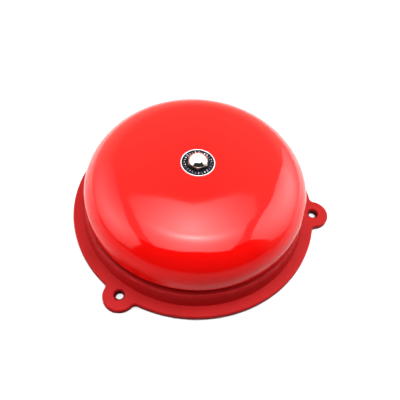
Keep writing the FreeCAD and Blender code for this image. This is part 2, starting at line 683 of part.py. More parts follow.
def core_rivets():
    """Two rivets that clamp the laminations."""
    body = new_body("core_rivets", z="axis_height")
    places = [("rivet_place", "screw_side"), ("rivet_place", "-screw_side")]
    stems = circles(new_sketch(body, "rivet_stems", "XY", ("0", "0", "-core_half_height")),
                    "rivet_radius", places)
    extrude(body, stems, "2*core_half_height")
    for name, height, back in (("rivet_tops", "core_half_height", False),
                               ("rivet_feet", "-core_half_height", True)):
        heads = circles(new_sketch(body, name, "XY", ("0", "0", height)), "rivet_head_radius", places)
        extrude(body, heads, "rivet_head", back=back)
    return body


def core_washers():
    """Four plain washers under the core screws."""
    body = new_body("core_washers", z="axis_height + core_half_height")
    sketch = new_sketch(body, "washers", "XY")
    circles(sketch, "small_washer_radius", SCREW_PLACES)
    circles(sketch, "screw_hole_radius", SCREW_PLACES)
    extrude(body, sketch, "small_washer_thick")
    return body


def core_screws():
    """Four slotted M4 screws that hold the core to the base's bosses."""
    seat = "axis_height + core_half_height + small_washer_thick"
    body = new_body("core_screws")
    stems = circles(new_sketch(body, "screw_stems", "XY", ("0", "0", "screw_tip")), "screw_radius",
                    SCREW_PLACES)
    extrude(body, stems, seat + " - screw_tip")
    heads = circles(new_sketch(body, "screw_heads", "XY", ("0", "0", seat)), "screw_head_radius",
                    SCREW_PLACES)
    extrude(body, heads, "screw_head")
    top = amount(seat + " + screw_head")
    dress(body, "Fillet", "screw_head_round", lambda edge: abs(edge.BoundBox.ZMin - top) < NEAR)
    slotted(body, "core_screw_slots", SCREW_PLACES, "screw_slot", "screw_head_radius + overrun",
            seat + " + screw_head", "slot_depth")
    return body


def square(sketch, half):
    """A square about the sketch's origin."""
    return rectangle(sketch, minus(half), half, minus(half), half)


def coil_bobbin():
    """Moulded bobbin: square tube, two cheeks and a side shelf for the coil's pins."""
    body = new_body("coil_bobbin", z="axis_height")
    back = "window_back + bobbin_play"
    front = "window_front - bobbin_play"
    core = square(new_sketch(body, "tube", "YZ", ("0", "0", back)), "bore_half_width + bobbin_wall")
    extrude(body, core, "window_front - window_back - 2*bobbin_play")
    near = square(new_sketch(body, "back_cheek", "YZ", ("0", "0", back)), "cheek_half_width")
    extrude(body, near, "cheek_thick")
    far = square(new_sketch(body, "front_cheek", "YZ", ("0", "0", front + " - cheek_thick")),
                 "cheek_half_width")
    extrude(body, far, "cheek_thick")
    shelf = new_sketch(body, "shelf", "XY", ("0", "0", "cheek_half_width - shelf_thick"))
    rectangle(shelf, back, front, "-shelf_reach", "-cheek_half_width")
    extrude(body, shelf, "shelf_thick")
    bore = square(new_sketch(body, "bore", "YZ", ("0", "0", back)), "bore_half_width")
    extrude(body, bore, "window_front - window_back", cut=True, back=True)
    pins = circles(new_sketch(body, "pin_holes", "XY"), "pin_radius", LEAD_PLACES)
    extrude(body, pins, "cheek_half_width", cut=True, back=True)
    return body


COIL_BACK = "window_back + bobbin_play + cheek_thick"
COIL_LENGTH = "window_front - window_back - 2*bobbin_play - 2*cheek_thick"


def rounded_block(label, low, high, half, corner):
    """A square block along the solenoid's axis, with rounded corners."""
    body = new_body(label, z="axis_height")
    blank = square(new_sketch(body, label + "_outside", "YZ", ("0", "0", low)), half)
    extrude(body, blank, high)
    dress(body, "Fillet", corner, runs_along(0))
    return body


def coil_winding():
    """Copper winding between the cheeks, on the bobbin's square tube."""
    body = rounded_block("coil_winding", COIL_BACK, COIL_LENGTH, "winding_half_width", "winding_corner")
    tube = square(new_sketch(body, "winding_inside", "YZ"), "bore_half_width + bobbin_wall")
    extrude(body, tube, "window_front", cut=True, back=True)
    return body


def coil_tape():
    """Tape round the middle of the winding."""
    body = rounded_block("coil_tape", COIL_BACK + " + tape_margin", COIL_LENGTH + " - 2*tape_margin",
                         "winding_half_width + tape_thick", "winding_corner + tape_thick")
    hollow(body, "tape_thick", lambda face: face.BoundBox.XLength < NEAR)
    return body


def coil_terminals():
    """Two pins through the bobbin's shelf, each with a collar on top."""
    body = new_body("coil_terminals", z="axis_height + cheek_half_width")
    pins = circles(new_sketch(body, "pins", "XY", ("0", "0", "-shelf_thick - pin_drop")), "pin_radius",
                   LEAD_PLACES)
    extrude(body, pins, "shelf_thick + pin_drop + pin_rise")
    collars = circles(new_sketch(body, "pin_collars", "XY"), "pin_collar_radius", LEAD_PLACES)
    extrude(body, collars, "pin_collar")
    return body


def guide_bush():
    """Flanged brass bush that guides the striker rod."""
    return rod_part("guide_bush", [
        ("window_front", "bush_bore_radius"), ("window_front", "bush_radius"),
        ("core_front", "bush_radius"), ("core_front", "bush_flange_radius"),
        ("core_front + bush_flange", "bush_flange_radius"),
        ("core_front + bush_flange", "bush_bore_radius")], "axis_height")


def stop_buffer():
    """Rubber ring that the hammer comes back to."""
    back = "core_front + bush_flange"
    front = back + " + buffer_thick"
    return rod_part("stop_buffer", [
        (back, "buffer_hole_radius"), (back, "bush_flange_radius"),
        (front, "bush_flange_radius"), (front, "buffer_hole_radius")], "axis_height")


# The striker

def striker_plunger():
    """Square soft iron plunger, bored for the rod and cross drilled for its pin."""
    body = new_body("striker_plunger", z="axis_height")
    block = square(new_sketch(body, "plunger", "YZ", ("0", "0", "plunger_back")), "pole_half_width")
    extrude(body, block, "plunger_front - plunger_back")
    dress(body, "Chamfer", "plunger_bevel", lambda edge: True)
    bore = circles(new_sketch(body, "plunger_bore", "YZ", ("0", "0", "rod_back")), "rod_radius",
                   [("0", "0")])
    extrude(body, bore, "plunger_front - rod_back", cut=True, back=True)
    cross = circles(new_sketch(body, "plunger_cross_hole", "XZ"), "cross_pin_radius",
                    [("cross_pin_place", "0")])
    extrude(body, cross, "2*pole_half_width", cut=True, both=True)
    return body


def striker_rod():
    """Steel rod from the plunger to the hammer tip."""
    body = rod_part("striker_rod", [
        ("rod_back", "0"), ("rod_back", "rod_radius"), ("rod_front", "rod_radius"), ("rod_front", "0")],
        "axis_height")
    cross = circles(new_sketch(body, "rod_cross_hole", "XZ"), "cross_pin_radius",
                    [("cross_pin_place", "0")])
    extrude(body, cross, "4*rod_radius", cut=True, both=True)
    return body


def rod_pin():
    """Cross pin that locks the rod in the plunger."""
    body = new_body("rod_pin", z="axis_height")
    pin = circles(new_sketch(body, "cross_pin", "XZ"), "cross_pin_radius", [("cross_pin_place", "0")])
    extrude(body, pin, "2*cross_pin_half_length", both=True)
    return body


def hammer_tip():
    """Brass hammer tip with a round nose, pressed on the rod."""
    back = "core_front + bush_flange + buffer_thick + buffer_play"
    nose = "rim_radius - gong_skin - strike_gap - striker_travel"
    body = rod_part("hammer_tip", [
        (back, "rod_radius"), (back, "hammer_radius"), (nose, "hammer_radius"),
        (nose, "0"), ("rod_front", "0"), ("rod_front", "rod_radius")], "axis_height")
    front = amount(nose)
    dress(body, "Fillet", "nose_round", lambda edge: abs(edge.BoundBox.XMin - front) < NEAR)
    return body


def return_spring():
    """Round wire spring between the plunger and the floor of the pole's pocket."""
    body = new_body("return_spring", "spring_seat", "0", "axis_height")
    wire = circles(new_sketch(body, "wire", "XY", ("0", "0", "0")), "wire_radius",
                   [("-wire_radius - spring_gap", "coil_radius")])
    coil = body.newObject("PartDesign::AdditiveHelix", "coil")
    coil.Profile = wire
    coil.ReferenceAxis = (wire, ["H_Axis"])
    coil.Mode = 2
    coil.Reversed = True
    bind(coil, "Height", "spring_seat - plunger_front - 2*wire_radius - 2*spring_gap")
    bind(coil, "Turns", "spring_turns")
    doc.recompute()
    return body


# Leads, grommets and terminals in the wiring space

def lead_grommets():
    """Two small grommets that carry the coil's leads through the top plate."""
    body = new_body("lead_grommets")
    for name, radius, low, length in (
            ("under_lips", "lead_lip_radius", "cavity_roof - lead_lip", "lead_lip"),
            ("waists", "lead_hole_radius", "cavity_roof", "plate_top - cavity_roof"),
            ("top_lips", "lead_lip_radius", "plate_top", "lead_lip")):
        sketch = circles(new_sketch(body, name, "XY", ("0", "0", low)), radius, LEAD_PLACES)
        extrude(body, sketch, length)
    bores = circles(new_sketch(body, "lead_bores", "XY"), "lead_bore_radius", LEAD_PLACES)
    extrude(body, bores, "plate_top + 2*lead_lip", cut=True, back=True)
    return body


def lead_wire(label, side):
    """One coil lead: down from its pin, through its grommet, round a bend and into its terminal."""
    body = new_body(label, "pin_place", "-" + side)
    top = "axis_height + cheek_half_width - shelf_thick - pin_drop"
    bend_top = "lead_height + lead_bend"
    path = new_sketch(body, label + "_path", "XZ")
    corner = FreeCAD.Vector(0, amount(bend_top), 0)
    turned = FreeCAD.Vector(-amount("lead_bend"), amount("lead_height"), 0)
    centre = FreeCAD.Vector(-amount("lead_bend"), amount(bend_top), 0)
    last = FreeCAD.Vector(amount("lead_end - pin_place"), amount("lead_height"), 0)
    path.addGeometry(Part.LineSegment(FreeCAD.Vector(0, amount(top), 0), corner), False)
    round_bend = Part.Circle(centre, FreeCAD.Vector(0, 0, 1), amount("lead_bend"))
    path.addGeometry(Part.ArcOfCircle(round_bend, -math.pi / 2, 0), False)
    path.addGeometry(Part.LineSegment(turned, last), False)
    path.addConstraint(Sketcher.Constraint("Tangent", 0, 2, 1, 2))
    path.addConstraint(Sketcher.Constraint("Tangent", 1, 1, 2, 1))
    hold(path, 0, 1, "0", top)
    hold(path, 0, 2, "0", bend_top)
    hold(path, 2, 2, "lead_end - pin_place", "lead_height")
    section = circles(new_sketch(body, label + "_section", "XY", ("0", "0", top)), "lead_radius",
                      [("0", "0")])
    doc.recompute()
    pipe = body.newObject("PartDesign::AdditivePipe", label + "_pipe")
    pipe.Profile = section
    pipe.Spine = (path, ["Edge1", "Edge2", "Edge3"])
    doc.recompute()
    length = (amount(top + " - lead_height - lead_bend") + math.pi / 2 * amount("lead_bend")
              + amount("pin_place - lead_bend - lead_end"))
    expected = length * math.pi * amount("lead_radius") ** 2
    print("%s: length %.1f mm, bend radius %.1f mm, volume %.2f against %.2f"
          % (label, length, amount("lead_bend"), body.Shape.Volume, expected))
    return body


CLAMP_PLACES = [("clamp_offset", "way_offset"), ("clamp_offset", "-way_offset"),
                ("-clamp_offset", "way_offset"), ("-clamp_offset", "-way_offset")]


def terminal_body():
    """Two way moulded terminal block on the roof of the wiring space."""
    body = new_body("terminal_body", y="-block_offset")
    blank = new_sketch(body, "block", "XY", ("0", "0", "block_foot"))
    rectangle(blank, "-block_half_length", "block_half_length", "-block_half_width", "block_half_width")
    extrude(body, blank, "cavity_roof - block_foot")
    dress(body, "Fillet", "block_round", runs_along(2))
    ways = circles(new_sketch(body, "ways", "YZ"), "tube_radius",
                   [("way_offset", "lead_height"), ("-way_offset", "lead_height")])
    extrude(body, ways, "4*block_half_length", cut=True, both=True)
    wells = circles(new_sketch(body, "wells", "XY"), "clamp_well_radius", CLAMP_PLACES)
    extrude(body, wells, "lead_height", cut=True, back=True)
    hole = circles(new_sketch(body, "block_hole", "XY"), "block_screw_hole", [("0", "0")])
    extrude(body, hole, "cavity_roof", cut=True, back=True)
    well = circles(new_sketch(body, "block_well", "XY"), "block_well_radius", [("0", "0")])
    extrude(body, well, "block_well_floor", cut=True, back=True)
    return body


def terminal_tubes():
    """Two brass tubes in the terminal block, each tapped for two clamp screws."""
    body = new_body("terminal_tubes", y="-block_offset")
    ways = [("way_offset", "lead_height"), ("-way_offset", "lead_height")]
    tubes = new_sketch(body, "tubes", "YZ")
    circles(tubes, "tube_radius", ways)
    circles(tubes, "tube_bore_radius", ways)
    extrude(body, tubes, "2*tube_half_length", both=True)
    threads = circles(new_sketch(body, "clamp_threads", "XY"), "clamp_hole_radius", CLAMP_PLACES)
    extrude(body, threads, "lead_height", cut=True, back=True)
    return body


def terminal_clamp_screws():
    """Four slotted clamp screws, driven from the wall side."""
    body = new_body("terminal_clamp_screws", y="-block_offset")
    heads = circles(new_sketch(body, "clamp_heads", "XY", ("0", "0", "clamp_head_foot")),
                    "clamp_head_radius", CLAMP_PLACES)
    extrude(body, heads, "clamp_head_top - clamp_head_foot")
    stems = circles(new_sketch(body, "clamp_stems", "XY", ("0", "0", "clamp_head_foot")),
                    "clamp_radius", CLAMP_PLACES)
    extrude(body, stems, "clamp_tip - clamp_head_foot")
    slotted(body, "clamp_slots", CLAMP_PLACES, "clamp_slot", "clamp_head_radius + overrun",
            "clamp_head_foot", "clamp_slot", back=True)
    return body


def terminal_fixing_screw():
    """M3 screw through the terminal block into the top plate."""
    body = turned_part("terminal_fixing_screw", [
        ("0", "clamp_head_foot"), ("block_head_radius", "clamp_head_foot"),
        ("block_head_radius", "block_well_floor"), ("block_screw_radius", "block_well_floor"),
        ("block_screw_radius", "block_screw_tip"), ("0", "block_screw_tip")], y="-block_offset")
    slotted(body, "block_screw_slot", [("0", "0")], "clamp_slot", "block_head_radius + overrun",
            "clamp_head_foot", "clamp_slot", back=True)
    return body


def earth_screw():
    """M4 earth screw, its head towards the wall."""
    seat = "earth_boss_foot - small_washer_thick"
    body = turned_part("earth_screw", [
        ("0", "earth_screw_foot"), ("screw_head_radius", "earth_screw_foot"),
        ("screw_head_radius", seat), ("screw_radius", seat),
        ("screw_radius", "tapped_floor - tip_play"), ("0", "tapped_floor - tip_play")],
        "earth_across", "earth_up")
    slotted(body, "earth_slot", [("0", "0")], "screw_slot", "screw_head_radius + overrun",
            "earth_screw_foot", "slot_depth", back=True)
    return body


def build():
    """Every sub-part, from the wall outwards."""
    base_casting()
    cable_grommet()
    gong_post()
    ring_part("post_washer", "shank_hole_radius", "flat_washer_radius",
              "cavity_roof - flat_washer_thick", "cavity_roof")
    post_spring_washer("cavity_roof - flat_washer_thick")
    post_nut("cavity_roof - flat_washer_thick - lock_washer_thick")
    ring_part("gong_washer", "stud_hole_radius", "washer_radius",
              "gong_top - gong_skin - washer_thick", "gong_top - gong_skin")
    gong()
    name_disc()
    cap_nut()
    core_yoke()
    core_rivets()
    core_washers()
    core_screws()
    coil_bobbin()
    coil_winding()
    coil_tape()
    coil_terminals()
    guide_bush()
    stop_buffer()
    striker_plunger()
    striker_rod()
    rod_pin()
    hammer_tip()
    return_spring()
    lead_grommets()
    lead_wire("lead_wire_live", "pin_near")
    lead_wire("lead_wire_neutral", "pin_far")
    terminal_body()
    terminal_tubes()
    terminal_clamp_screws()
    terminal_fixing_screw()
    earth_screw()
    ring_part("earth_washer", "screw_hole_radius", "small_washer_radius",
              "earth_boss_foot - small_washer_thick", "earth_boss_foot", "earth_across", "earth_up")


def save():
    """Check every object and every sub-part, then write one STEP file for each sub-part."""
    doc.recompute()
    for thing in doc.Objects:
        if "Invalid" in thing.State or "Error" in thing.State:
            raise RuntimeError("%s is %s" % (thing.Label, thing.State))
    for body in subparts:
        if body.Shape.isNull() or not body.Shape.isValid():
            raise RuntimeError("%s has no valid shape" % body.Label)
    os.makedirs("parts", exist_ok=True)
    for body in subparts:
        body.Shape.exportStep(os.path.join("parts", body.Label + ".step"))
        print("%-24s solids %d  volume %9.2f" % (body.Label, len(body.Shape.Solids), body.Shape.Volume))


build()
save()
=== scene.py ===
"""Looks of the fire alarm bell: enamel, plated and bare metal, rubber and plastic, studio and camera.

The bell lies on its wall face. The gong, the cap nut, the name disc and the return spring are finished
meshes of their own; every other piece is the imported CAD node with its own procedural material.
"""
import bmesh
import bpy
import json
import math
from mathutils import Matrix, Vector


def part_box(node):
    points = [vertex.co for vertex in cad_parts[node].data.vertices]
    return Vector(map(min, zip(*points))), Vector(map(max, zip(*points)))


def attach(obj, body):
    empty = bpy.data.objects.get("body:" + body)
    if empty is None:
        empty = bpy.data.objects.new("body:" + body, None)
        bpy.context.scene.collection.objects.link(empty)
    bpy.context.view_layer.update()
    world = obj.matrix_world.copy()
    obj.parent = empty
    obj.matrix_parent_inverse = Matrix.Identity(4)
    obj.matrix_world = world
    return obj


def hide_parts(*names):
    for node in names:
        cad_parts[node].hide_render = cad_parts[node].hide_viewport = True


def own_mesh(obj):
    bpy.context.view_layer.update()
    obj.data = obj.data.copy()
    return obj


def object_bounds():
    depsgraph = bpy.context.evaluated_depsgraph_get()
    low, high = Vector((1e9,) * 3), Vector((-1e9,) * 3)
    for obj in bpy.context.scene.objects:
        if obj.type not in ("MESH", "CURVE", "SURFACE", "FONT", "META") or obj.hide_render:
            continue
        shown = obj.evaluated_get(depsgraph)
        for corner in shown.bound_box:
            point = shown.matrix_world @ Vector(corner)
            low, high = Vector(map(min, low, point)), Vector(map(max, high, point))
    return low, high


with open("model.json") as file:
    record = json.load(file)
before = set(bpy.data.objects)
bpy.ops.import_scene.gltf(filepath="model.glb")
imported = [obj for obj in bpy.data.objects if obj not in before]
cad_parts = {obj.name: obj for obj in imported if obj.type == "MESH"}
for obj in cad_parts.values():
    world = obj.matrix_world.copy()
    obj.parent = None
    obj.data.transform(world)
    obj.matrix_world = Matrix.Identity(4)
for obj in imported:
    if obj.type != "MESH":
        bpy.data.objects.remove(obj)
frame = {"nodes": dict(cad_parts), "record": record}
cad_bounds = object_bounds()
MM = 0.001


# Sizes that the frame gives

def low(node):
    """Lowest corner of a CAD node."""
    return Vector(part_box(node)[0])


def high(node):
    """Highest corner of a CAD node."""
    return Vector(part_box(node)[1])


RIM_RADIUS = (high("gong").x - low("gong").x) / 2
RIM_HEIGHT = low("gong").z
GONG_TOP = high("gong").z
DISC_RADIUS = (high("name_disc").x - low("name_disc").x) / 2
DISC_FOOT = low("name_disc").z
DISC_TOP = high("name_disc").z
NUT_FOOT = low("cap_nut").z
NUT_TOP = high("cap_nut").z
NUT_FLATS = high("cap_nut").y - low("cap_nut").y
WALL_SCREWS = [mount for mount in frame["record"]["mounts"] if mount["name"] == "wall_screws"][0]["dims"]
FIRST_EAR = 90
EAR_SPACING = 360 / WALL_SCREWS["count"]
EAR_ANGLES = [math.radians(FIRST_EAR + EAR_SPACING * ear) for ear in range(WALL_SCREWS["count"])]

# Sizes that the frame doesn't give

BOSSES_OVER_PLINTH = 7 * MM
PLINTH_TOP = high("base_casting").z - BOSSES_OVER_PLINTH
NUT_HEXAGON = 2.6 * MM
STUD_HOLE = 4.2 * MM
FIELD_THICK = 0.5 * MM

# Most of a noise's values lie between these

NOISE_SPAN = (0.3, 0.7)


# Mesh helpers

def finish_mesh(name, bm, sharp_degrees=35):
    """A shown object from a bmesh, shaded smooth except over sharp edges."""
    bmesh.ops.recalc_face_normals(bm, faces=bm.faces)
    mesh = bpy.data.meshes.new(name)
    bm.to_mesh(mesh)
    bm.free()
    for face in mesh.polygons:
        face.use_smooth = True
    mesh.set_sharp_from_angle(angle=math.radians(sharp_degrees))
    piece = bpy.data.objects.new(name, mesh)
    bpy.context.scene.collection.objects.link(piece)
    return piece


def ring_of(bm, reach, height, steps):
    """Corners evenly round the Z axis."""
    angles = [2 * math.pi * step / steps for step in range(steps)]
    return [bm.verts.new((reach * math.cos(angle), reach * math.sin(angle), height)) for angle in angles]


def join_rings(bm, rings):
    """Faces from each closed ring of corners to the next."""
    for near, far in zip(rings, rings[1:]):
        for step in range(len(near)):
            after = (step + 1) % len(near)
            bm.faces.new((near[step], near[after], far[after], far[step]))


def lathe(bm, section, steps):
    """Turn (radius, height) points round the Z axis."""
    rings = [ring_of(bm, radius, height, steps) for radius, height in section]
    join_rings(bm, rings)
    return rings


def arc(centre_r, centre_z, radius, start, end, steps):
    """Points of a round stretch of a section, between two angles in degrees."""
    points = []
    for step in range(steps + 1):
        angle = math.radians(start + (end - start) * step / steps)
        points.append((centre_r + radius * math.cos(angle), centre_z + radius * math.sin(angle)))
    return points


# Materials

def start_material(name, colour, roughness, metallic=0.0):
    """A material with its Principled shader's plain values set."""
    material = bpy.data.materials.new(name)
    material.use_nodes = True
    shader = material.node_tree.nodes["Principled BSDF"]
    shader.inputs["Base Color"].default_value = (*colour, 1)
    shader.inputs["Roughness"].default_value = roughness
    shader.inputs["Metallic"].default_value = metallic
    return material, material.node_tree, shader


def place(tree):
    """The row frame's own coordinates, in metres."""
    return tree.nodes.new("ShaderNodeTexCoord").outputs["Object"]


def noise(tree, scale, detail=3.0, stretch=(1, 1, 1), distortion=0.0):
    """A noise value from the place on the object, optionally stretched along an axis."""
    mapping = tree.nodes.new("ShaderNodeMapping")
    mapping.inputs["Scale"].default_value = stretch
    tree.links.new(place(tree), mapping.inputs["Vector"])
    node = tree.nodes.new("ShaderNodeTexNoise")
    node.inputs["Scale"].default_value = scale
    node.inputs["Detail"].default_value = detail
    node.inputs["Distortion"].default_value = distortion
    tree.links.new(mapping.outputs[0], node.inputs["Vector"])
    return node.outputs["Fac"]


def bands(tree, pitch, axis):
    """Fine even lines across one axis, a pitch apart in metres."""
    node = tree.nodes.new("ShaderNodeTexWave")
    node.bands_direction = axis
    # At scale 1 the wave texture turns this many radians in a metre.
    wave_radians = 20
    node.inputs["Scale"].default_value = 2 * math.pi / (wave_radians * pitch)
    tree.links.new(place(tree), node.inputs["Vector"])
    return node.outputs["Fac"]


def remap(tree, value, low_in, high_in, low_out, high_out):
    """A value carried from one range to another, and kept inside it."""
    node = tree.nodes.new("ShaderNodeMapRange")
    tree.links.new(value, node.inputs["Value"])
    sockets = ("From Min", "From Max", "To Min", "To Max")
    for socket, number in zip(sockets, (low_in, high_in, low_out, high_out)):
        node.inputs[socket].default_value = number
    return node.outputs["Result"]


def calculate(tree, operation, first, second):
    """One Math node; each side is a socket or a number."""
    node = tree.nodes.new("ShaderNodeMath")
    node.operation = operation
    for socket, value in zip(node.inputs, (first, second)):
        if isinstance(value, (int, float)):
            socket.default_value = value
        else:
            tree.links.new(value, socket)
    return node.outputs[0]


def blend_colour(tree, factor, first, second):
    """A colour between two others; each is a socket or an RGB triple."""
    node = tree.nodes.new("ShaderNodeMix")
    node.data_type = "RGBA"
    tree.links.new(factor, node.inputs["Factor"])
    for name, value in (("A", first), ("B", second)):
        socket = [s for s in node.inputs if s.name == name and s.type == "RGBA"][0]
        if isinstance(value, tuple):
            socket.default_value = (*value, 1)
        else:
            tree.links.new(value, socket)
    return [s for s in node.outputs if s.type == "RGBA"][0]


def bump(tree, shader, height, depth, before=None):
    """Raise the surface by a height value, depth metres from 0 to 1, over an earlier bump if there is one."""
    node = tree.nodes.new("ShaderNodeBump")
    node.inputs["Strength"].default_value = 1.0
    node.inputs["Distance"].default_value = depth
    tree.links.new(height, node.inputs["Height"])
    if before is not None:
        tree.links.new(before, node.inputs["Normal"])
    tree.links.new(node.outputs["Normal"], shader.inputs["Normal"])
    return node.outputs["Normal"]


def coordinates(tree):
    """The place's X, Y and Z as three sockets."""
    split = tree.nodes.new("ShaderNodeSeparateXYZ")
    tree.links.new(place(tree), split.inputs[0])
    return split


def across(tree, split, x, y):
    """Level distance from the upright line through x, y."""
    side = calculate(tree, "SUBTRACT", split.outputs["X"], x)
    ahead = calculate(tree, "SUBTRACT", split.outputs["Y"], y)
    square = calculate(tree, "ADD", calculate(tree, "MULTIPLY", side, side),
                       calculate(tree, "MULTIPLY", ahead, ahead))
    return calculate(tree, "SQRT", square, 0.0)


def radial(tree):
    """Distance from the bell's axis, and height above the wall face, in metres."""
    split = coordinates(tree)
    return across(tree, split, 0.0, 0.0), split.outputs["Z"]


def screw_holes(tree, inner, outer):
    """1 within inner metres of a wall screw's axis, fading to 0 at outer metres."""
    split = coordinates(tree)
    pitch = WALL_SCREWS["pcd_mm"] / 2 * MM
    nearest = 1.0
    for angle in EAR_ANGLES:
        here = across(tree, split, pitch * math.cos(angle), pitch * math.sin(angle))
        nearest = calculate(tree, "MINIMUM", here, nearest)
    return remap(tree, nearest, inner, outer, 1, 0)


def gong_enamel():
    """Gloss stove enamel on spun steel: faint orange peel, fainter spinning rings, thin at the rim."""
    material, tree, shader = start_material("gong_enamel", (0.53, 0.0021, 0.0016), 0.06)
    shader.inputs["Specular IOR Level"].default_value = 0.34
    distance, height = radial(tree)
    drift = noise(tree, 22, 2)
    fine = noise(tree, 420, 2)
    thicker, thinner = (0.54, 0.0022, 0.0016), (0.50, 0.0018, 0.0013)
    body = blend_colour(tree, remap(tree, drift, *NOISE_SPAN, 0, 1), thicker, thinner)
    at_rim = remap(tree, height, RIM_HEIGHT + 0.1 * MM, RIM_HEIGHT + 1.1 * MM, 1, 0)
    wear_and_painted_reflection = calculate(tree, "MULTIPLY", at_rim, remap(tree, noise(tree, 420, 4), 0.45, 0.75, 0, 0.7))
    colour = blend_colour(tree, wear_and_painted_reflection, body, (0.22, 0.008, 0.008))
    tree.links.new(colour, shader.inputs["Base Color"])
    cloudy = remap(tree, drift, *NOISE_SPAN, 0.045, 0.075)
    rough = calculate(tree, "ADD", cloudy, remap(tree, fine, *NOISE_SPAN, 0, 0.02))
    rubbed = calculate(tree, "MULTIPLY", wear_and_painted_reflection, 0.3)
    tree.links.new(calculate(tree, "ADD", rough, rubbed), shader.inputs["Roughness"])
    ring_pitch = 1.6 * MM
    rings = calculate(tree, "SINE", calculate(tree, "MULTIPLY", distance, 2 * math.pi / ring_pitch), 0.0)
    spun = bump(tree, shader, rings, 0.00000015)
    bump(tree, shader, fine, 0.0000025, spun)
    return material


def base_enamel():
    """Satin enamel on a casting: sandy, rubbed at its upper edge, with painted shade at its foot and in its
    screw holes.
    """
    material, tree, shader = start_material("base_enamel", (0.294, 0.0026, 0.0035), 0.5)
    shader.inputs["Specular IOR Level"].default_value = 0.09
    distance, height = radial(tree)
    sand = noise(tree, 900, 4)
    cloud = noise(tree, 45, 3)
    thicker, thinner = (0.31, 0.003, 0.0038), (0.268, 0.0024, 0.003)
    body = blend_colour(tree, remap(tree, cloud, *NOISE_SPAN, 0, 1), thicker, thinner)
    rub = noise(tree, 500, 5)
    edge_out = remap(tree, distance, 75.8 * MM, 76.6 * MM, 0, 1)
    edge_up = remap(tree, height, PLINTH_TOP - 1.3 * MM, PLINTH_TOP - 0.3 * MM, 0, 1)
    plinth_edge = calculate(tree, "MULTIPLY", edge_out, edge_up)
    rubbed = calculate(tree, "MULTIPLY", plinth_edge, remap(tree, rub, 0.5, 0.8, 0, 0.5))
    painted = blend_colour(tree, rubbed, body, (0.52, 0.05, 0.05))
    # Painted shade: the flange's side is darkened towards its foot.
    foot = remap(tree, height, 1.6 * MM, 3.0 * MM, 0.7, 0)
    shade_painted_foot = blend_colour(tree, foot, painted, (0.11, 0.002, 0.004))
    # Painted shade: the screw holes are painted nearly black.
    colour = blend_colour(tree, screw_holes(tree, 3.0 * MM, 3.9 * MM), shade_painted_foot, (0.035, 0.002, 0.003))
    tree.links.new(colour, shader.inputs["Base Color"])
    tree.links.new(remap(tree, cloud, 0.25, 0.75, 0.42, 0.54), shader.inputs["Roughness"])
    coarse = bump(tree, shader, noise(tree, 160, 2), 0.00003)
    bump(tree, shader, sand, 0.000045, coarse)
    return material


def chrome():
    """Bright nickel chrome with faint polishing haze, and a painted reflection: the hexagon is coloured dark
    brown all round.
    """
    plate, painted_reflection_brown = (0.86, 0.86, 0.88), (0.12, 0.065, 0.04)
    material, tree, shader = start_material("chrome_nut", plate, 0.08, 1.0)
    haze = noise(tree, 900, 3)
    height = coordinates(tree).outputs["Z"]
    hexagon_top = NUT_FOOT + NUT_HEXAGON
    hexagon = remap(tree, height, hexagon_top, hexagon_top + 0.15 * MM, 1, 0)
    # Painted reflection: the hexagon's flats are coloured dark brown all round, standing in for what they
    # mirror.
    wear_and_painted_reflection = calculate(tree, "MULTIPLY", hexagon, remap(tree, noise(tree, 350, 3), 0.3, 0.6, 0.75, 1))
    tree.links.new(blend_colour(tree, wear_and_painted_reflection, plate, painted_reflection_brown), shader.inputs["Base Color"])
    polish = remap(tree, haze, *NOISE_SPAN, 0.05, 0.13)
    rubbed = calculate(tree, "MULTIPLY", wear_and_painted_reflection, 0.25)
    tree.links.new(calculate(tree, "ADD", polish, rubbed), shader.inputs["Roughness"])
    bump(tree, shader, noise(tree, 350, 1), 0.000004)
    return material


def black_print():
    """Black printed field of the name disc, with a little dust."""
    ink, dusty = (0.004, 0.004, 0.009), (0.03, 0.03, 0.045)
    material, tree, shader = start_material("black_print", ink, 0.25)
    shader.inputs["Specular IOR Level"].default_value = 0.12
    dust = noise(tree, 1500, 4)
    speck = remap(tree, dust, 0.62, 0.75, 0, 0.25)
    tree.links.new(blend_colour(tree, speck, ink, dusty), shader.inputs["Base Color"])
    tree.links.new(remap(tree, dust, *NOISE_SPAN, 0.2, 0.32), shader.inputs["Roughness"])
    bump(tree, shader, dust, 0.000006)
    return material


def silver_print(name, colour, thin):
    """Satin aluminium of the disc's rim and marks, which shows less where the print over it is thin."""
    material, tree, shader = start_material(name, colour, 0.38, 0.25)
    grain = noise(tree, 1200, 3)
    patchy = remap(tree, noise(tree, 260, 2), 0.42, 0.58, 0, 1)
    tree.links.new(blend_colour(tree, patchy, colour, thin), shader.inputs["Base Color"])
    tree.links.new(remap(tree, grain, *NOISE_SPAN, 0.32, 0.46), shader.inputs["Roughness"])
    bump(tree, shader, grain, 0.000003)
    return material


def plated_steel(name, colour, rough, depth):
    """Zinc plated or plain turned steel: fine grain and cloudy gloss."""
    material, tree, shader = start_material(name, colour, rough, 1.0)
    cloud = noise(tree, 220, 3)
    grain = noise(tree, 1400, 4)
    darker = tuple(0.72 * part for part in colour)
    clouded = remap(tree, cloud, 0.35, 0.7, 0, 1)
    tree.links.new(blend_colour(tree, clouded, colour, darker), shader.inputs["Base Color"])
    tree.links.new(remap(tree, grain, *NOISE_SPAN, rough - 0.06, rough + 0.1), shader.inputs["Roughness"])
    bump(tree, shader, grain, depth)
    return material


